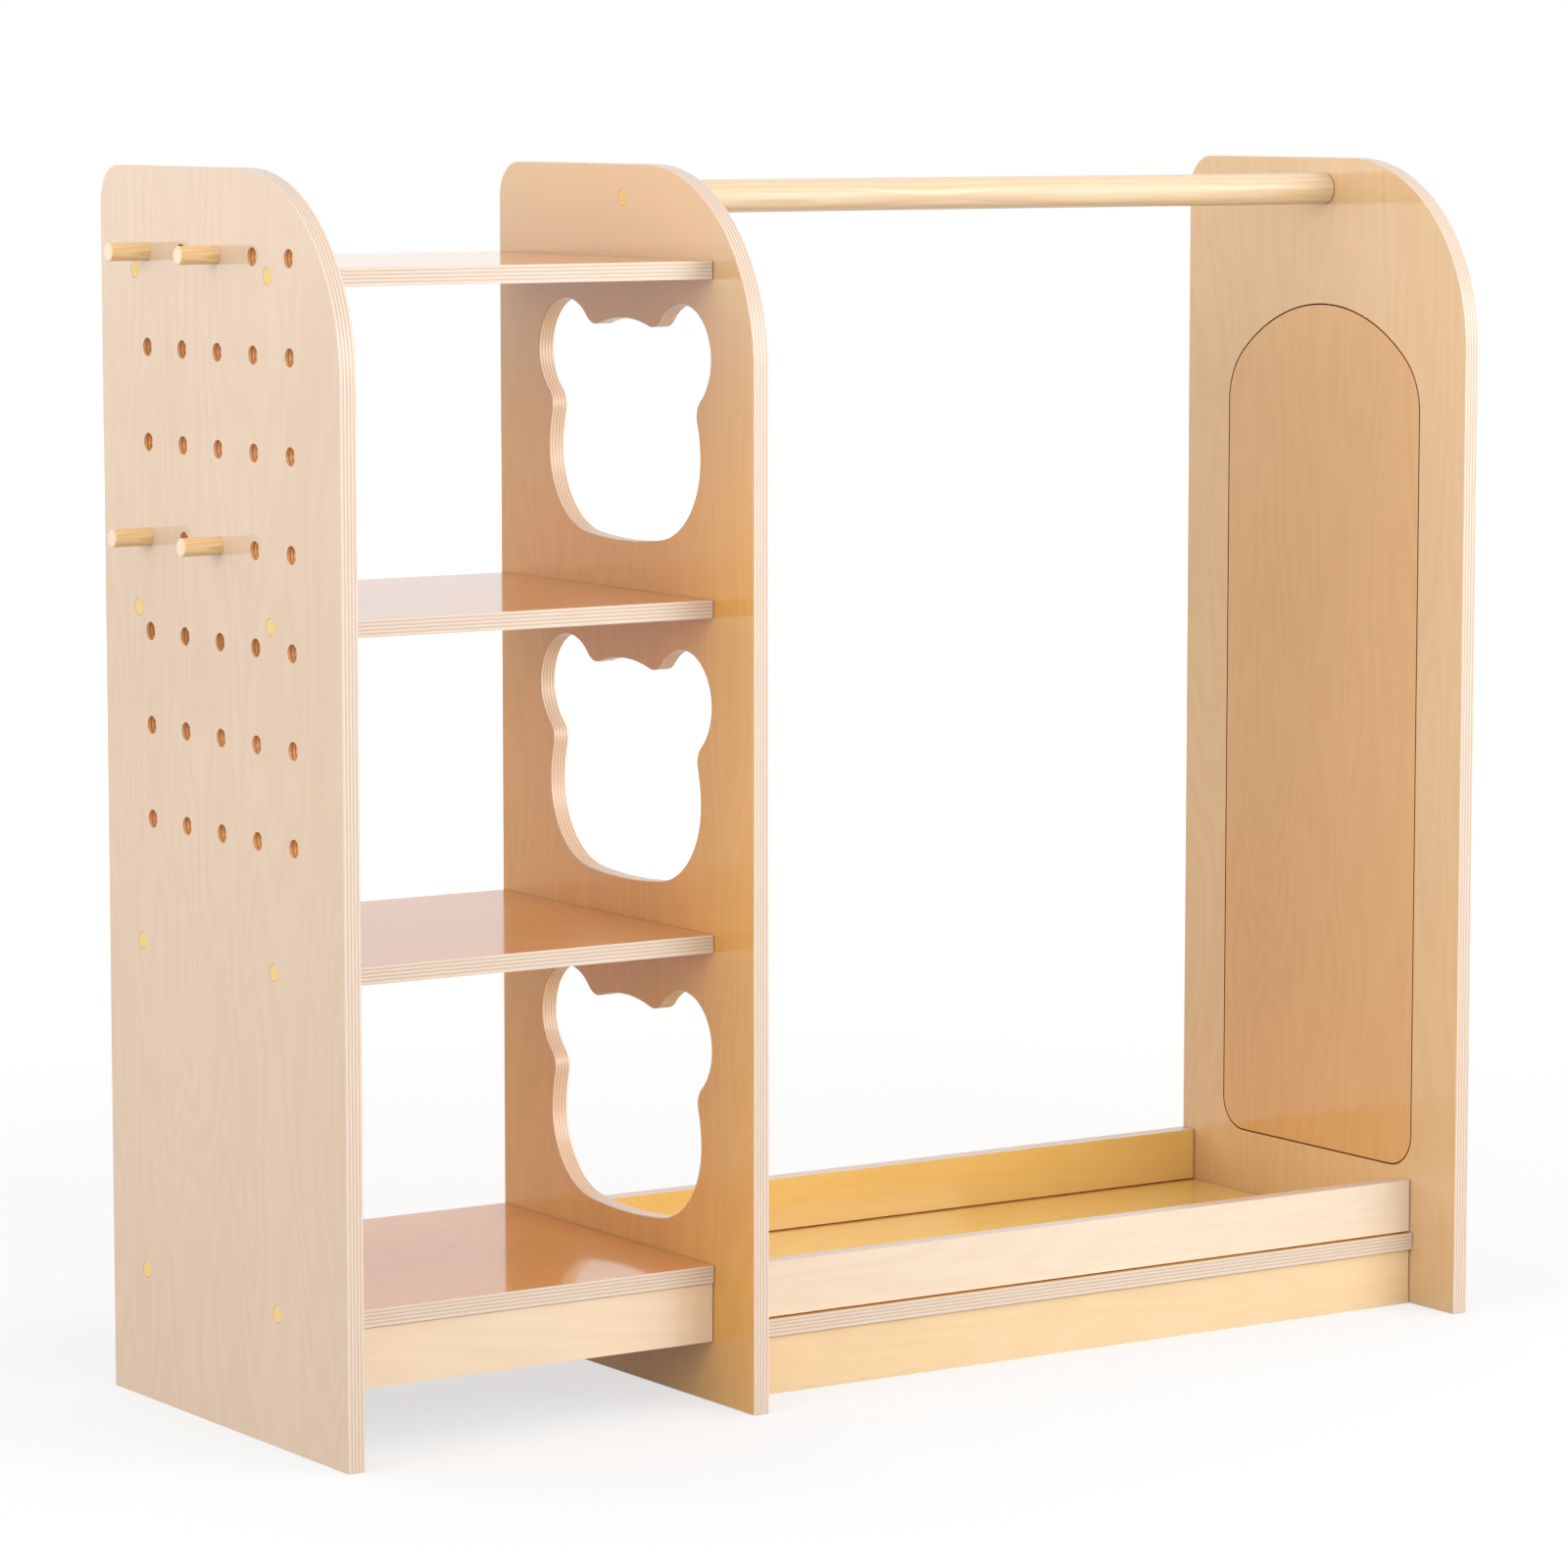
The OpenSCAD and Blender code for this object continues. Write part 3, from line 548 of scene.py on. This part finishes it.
RAIL_RIM = 1.0 * MM  # how far the rims of its ends are broken
RAIL_FILM = 0.28  # how rough its lacquer dries
low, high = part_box("hanging_rail")
lacquered_pine = round_wood(
    "lacquered_pine", (low + high) / 2, X_AXIS, ring_mm=5.5,
    pale="#DECAAC", deep="#CFAC82", end_colour="#D6BB9B", film=RAIL_FILM)
shape = blank("hanging_rail")
rims = [edge for edge, _ in corners(shape, ["rail_screws"])]
bmesh.ops.bevel(
    shape, geom=rims, affect="EDGES", offset_type="OFFSET", offset=RAIL_RIM,
    segments=1, clamp_overlap=True, material=1)
for face in shape.faces:
    face.smooth = True
fit(shape, "rail_rod", "hanging_rail", (lacquered_pine, painted_joint_shadow))

# ---- Pegs ----
# Four 15 mm beech dowels with chamfered ends, pushed into the peg board and held by their fit.
# Turned from straight beech with narrow rings, with a pinkish end grain, and lacquered like the boards.
for peg in ("upper_rear_peg", "upper_front_peg", "lower_rear_peg", "lower_front_peg"):
    low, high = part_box(peg)
    dress(peg, round_wood(
        peg + "_beech", (low + high) / 2, X_AXIS, ring_mm=2.6,
        pale="#F4D8A6", deep="#DDAC6C", end_colour="#E9D0C2"))

# ---- Screws ----
# Steel furniture screws with a hexagon socket, sunk into the panels under the cover caps.
# Their zinc plate is a cool grey with a fine spangle, half matt.
SPANGLES_PER_M = 700  # about 1.4 mm each, coarser than real ones so that they show
zinc_plate, tree, output = new_material("zinc_plate")
place = add(tree, "ShaderNodeTexCoord").outputs["Object"]
spangle = add(tree, "ShaderNodeTexNoise", {"Vector": place, "Scale": SPANGLES_PER_M, "Detail": 3.0})
zinc_colour = add(tree, "ShaderNodeMix", {
    0: spangle, 6: linear("#A9ABAF"), 7: linear("#C9CBCE")}, data_type="RGBA").outputs[2]
zinc_roughness = add(tree, "ShaderNodeMapRange", {
    "Value": spangle, "From Min": 0.3, "From Max": 0.7, "To Min": 0.28, "To Max": 0.42})
shader = add(tree, "ShaderNodeBsdfPrincipled", {
    "Base Color": zinc_colour, "Metallic": 1.0, "Roughness": zinc_roughness})
tree.links.new(shader.outputs[0], output.inputs[0])
for group in ("left_shelf_screws", "middle_shelf_screws", "rail_screws", "tray_screws"):
    dress(group, zinc_plate)

# ---- Cover caps ----
# Moulded yellow plastic caps, pressed into the screw heads and almost flush with the panel.
# A satin plastic: even colour, a soft highlight, and the faint mottling of a moulded face.
MOTTLES_PER_M = 900  # about 1.1 mm each
moulded_plastic, tree, output = new_material("moulded_plastic")
place = add(tree, "ShaderNodeTexCoord").outputs["Object"]
mottle = add(tree, "ShaderNodeTexNoise", {"Vector": place, "Scale": MOTTLES_PER_M, "Detail": 2.0})
cap_colour = add(tree, "ShaderNodeMix", {
    0: mottle, 6: linear("#E9CA84"), 7: linear("#E0BE70")}, data_type="RGBA").outputs[2]
cap_bump = add(tree, "ShaderNodeBump", {"Strength": 0.2, "Distance": 0.02 * MM, "Height": mottle})
cap_roughness = add(tree, "ShaderNodeMapRange", {
    "Value": mottle, "From Min": 0.3, "From Max": 0.7, "To Min": 0.36, "To Max": 0.46})
shader = add(tree, "ShaderNodeBsdfPrincipled", {
    "Base Color": cap_colour, "Roughness": cap_roughness, "IOR": 1.46, "Normal": cap_bump})
tree.links.new(shader.outputs[0], output.inputs[0])
for group in ("left_shelf_caps", "middle_shelf_caps", "rail_caps", "tray_caps"):
    dress(group, moulded_plastic)

# ---- Dowels ----
# 8 mm beech dowels glued across the joints of the plinths and the tray rails.
# They are of the same close-ringed beech as the pegs, and stay hidden in the boards.
for group in ("shelf_plinth_dowels", "tray_plinth_dowels", "front_rail_dowels", "back_rail_dowels"):
    low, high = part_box(group)
    dress(group, round_wood(
        group + "_beech", (low + high) / 2, Z_AXIS, ring_mm=2.6,
        pale="#E8C48E", deep="#CF9A58", end_colour="#EBD0A6"))

# ---- Floor, backdrop and light ----
# A plain painted floor that runs out into white, under a white studio whose even light carries the most.
# Two softboxes stand where the lacquer mirrors them. Four lamps that it doesn't mirror light the front,
# the left side and the back.


def in_view(tree):
    """1 where the camera looks, also by gloss or through glass, and 0 for light on its way to the object."""
    ray = add(tree, "ShaderNodeLightPath")
    bounced = add(tree, "ShaderNodeMath", {
        0: ray.outputs["Is Glossy Ray"], 1: ray.outputs["Is Transmission Ray"]}, operation="MAXIMUM")
    return add(tree, "ShaderNodeMath", {0: ray.outputs["Is Camera Ray"], 1: bounced}, operation="MAXIMUM")


# Matt grey floor paint, whose glow for the camera brings it up to white while the shadow on it stays.
PAINTED_TO, WHITE_FROM = 1.0, 5.0  # metres from the unit between which the floor turns white
white_floor, tree, output = new_material("white_floor")
paint = add(tree, "ShaderNodeBsdfDiffuse", {"Color": linear("#8C8C8C")})
place = add(tree, "ShaderNodeTexCoord").outputs["Object"]
distance = add(tree, "ShaderNodeVectorMath", {0: place}, operation="LENGTH").outputs["Value"]
run_out = add(tree, "ShaderNodeMapRange", {
    "Value": distance, "From Min": PAINTED_TO, "From Max": WHITE_FROM, "To Min": 0.66, "To Max": 1.0},
    interpolation_type="SMOOTHSTEP")
glow = add(tree, "ShaderNodeEmission", {"Color": (1, 1, 1, 1), "Strength": run_out})
no_glow = add(tree, "ShaderNodeEmission", {"Color": (0, 0, 0, 1), "Strength": 0.0})
seen_glow = add(tree, "ShaderNodeMixShader", {0: in_view(tree), 1: no_glow, 2: glow})
both = add(tree, "ShaderNodeAddShader", {0: paint, 1: seen_glow})
tree.links.new(both.outputs[0], output.inputs[0])

FLOOR_R = 14
FLOOR_SIDES = 64
rim = [2 * pi * i / FLOOR_SIDES for i in range(FLOOR_SIDES)]
floor_mesh = bpy.data.meshes.new("floor")
floor_mesh.from_pydata(
    [(FLOOR_R * cos(turn), FLOOR_R * sin(turn), 0) for turn in rim], [], [tuple(range(FLOOR_SIDES))])
floor_mesh.materials.append(white_floor)
floor = bpy.data.objects.new("floor", floor_mesh)
bpy.context.scene.collection.objects.link(floor)

world = bpy.data.worlds.new("white_studio")
bpy.context.scene.world = world
world.use_nodes = True
tree = world.node_tree
tree.nodes.clear()
output = tree.nodes.new("ShaderNodeOutputWorld")
studio = add(tree, "ShaderNodeBackground", {"Color": linear("#FFFDFB"), "Strength": 1.0})
backdrop = add(tree, "ShaderNodeBackground", {"Color": (1, 1, 1, 1), "Strength": 1.0})
sky = add(tree, "ShaderNodeMixShader", {0: in_view(tree), 1: studio, 2: backdrop})
tree.links.new(sky.outputs[0], output.inputs[0])


def softbox(name, place, target, size, power, mirrored, fade=0.42):
    """A studio softbox turned to its target, size metres wide and high.

    Its cloth brightens upwards over the fade's share of its height, and gloss shows it if it is mirrored."""
    lamp_data = bpy.data.lights.new(name, "AREA")
    lamp_data.shape = "RECTANGLE"
    lamp_data.size, lamp_data.size_y = size
    lamp_data.energy = power
    lamp_data.use_nodes = True
    tree = lamp_data.node_tree
    tree.nodes.clear()
    height = add(tree, "ShaderNodeSeparateXYZ", {0: add(tree, "ShaderNodeTexCoord").outputs["UV"]}).outputs[1]
    cloth = add(tree, "ShaderNodeMapRange", {
        "Value": height, "From Min": 0.02, "From Max": fade, "To Min": 0.0, "To Max": 1.0},
        interpolation_type="SMOOTHSTEP")
    shine = add(tree, "ShaderNodeEmission", {"Strength": cloth})
    output = tree.nodes.new("ShaderNodeOutputLight")
    tree.links.new(shine.outputs[0], output.inputs[0])
    lamp = bpy.data.objects.new(name, lamp_data)
    lamp.location = place
    lamp.rotation_euler = (Vector(target) - Vector(place)).to_track_quat("-Z", "Y").to_euler()
    lamp.visible_glossy = mirrored
    bpy.context.scene.collection.objects.link(lamp)


softbox("front_right_softbox", (2.2, -3.4, 1.3), (0.1, 0, 1.0), (3.2, 2.6), power=104, mirrored=True)
softbox("low_back_left_softbox", (-3.25, 4.85, 0.58), (-0.2, 0, 0.58), (1.7, 1.1), power=7, mirrored=True,
        fade=1.0)
softbox("back_left_lamp", (-3.2, 4.4, 1.9), (-0.2, 0, 0.6), (3.0, 2.6), power=37, mirrored=False)
softbox("front_lamp", (-0.6, -4.8, 2.0), (0, 0, 0.5), (1.4, 1.4), power=58, mirrored=False)
softbox("low_front_lamp", (0.5, -2.4, 0.06), (0.1, 0, 0.9), (2.6, 1.0), power=22, mirrored=False)
softbox("left_lamp", (-4.5, -0.8, 1.2), (0, 0, 0.5), (2.0, 2.0), power=86, mirrored=False)

bpy.context.scene.view_settings.view_transform = "Standard"
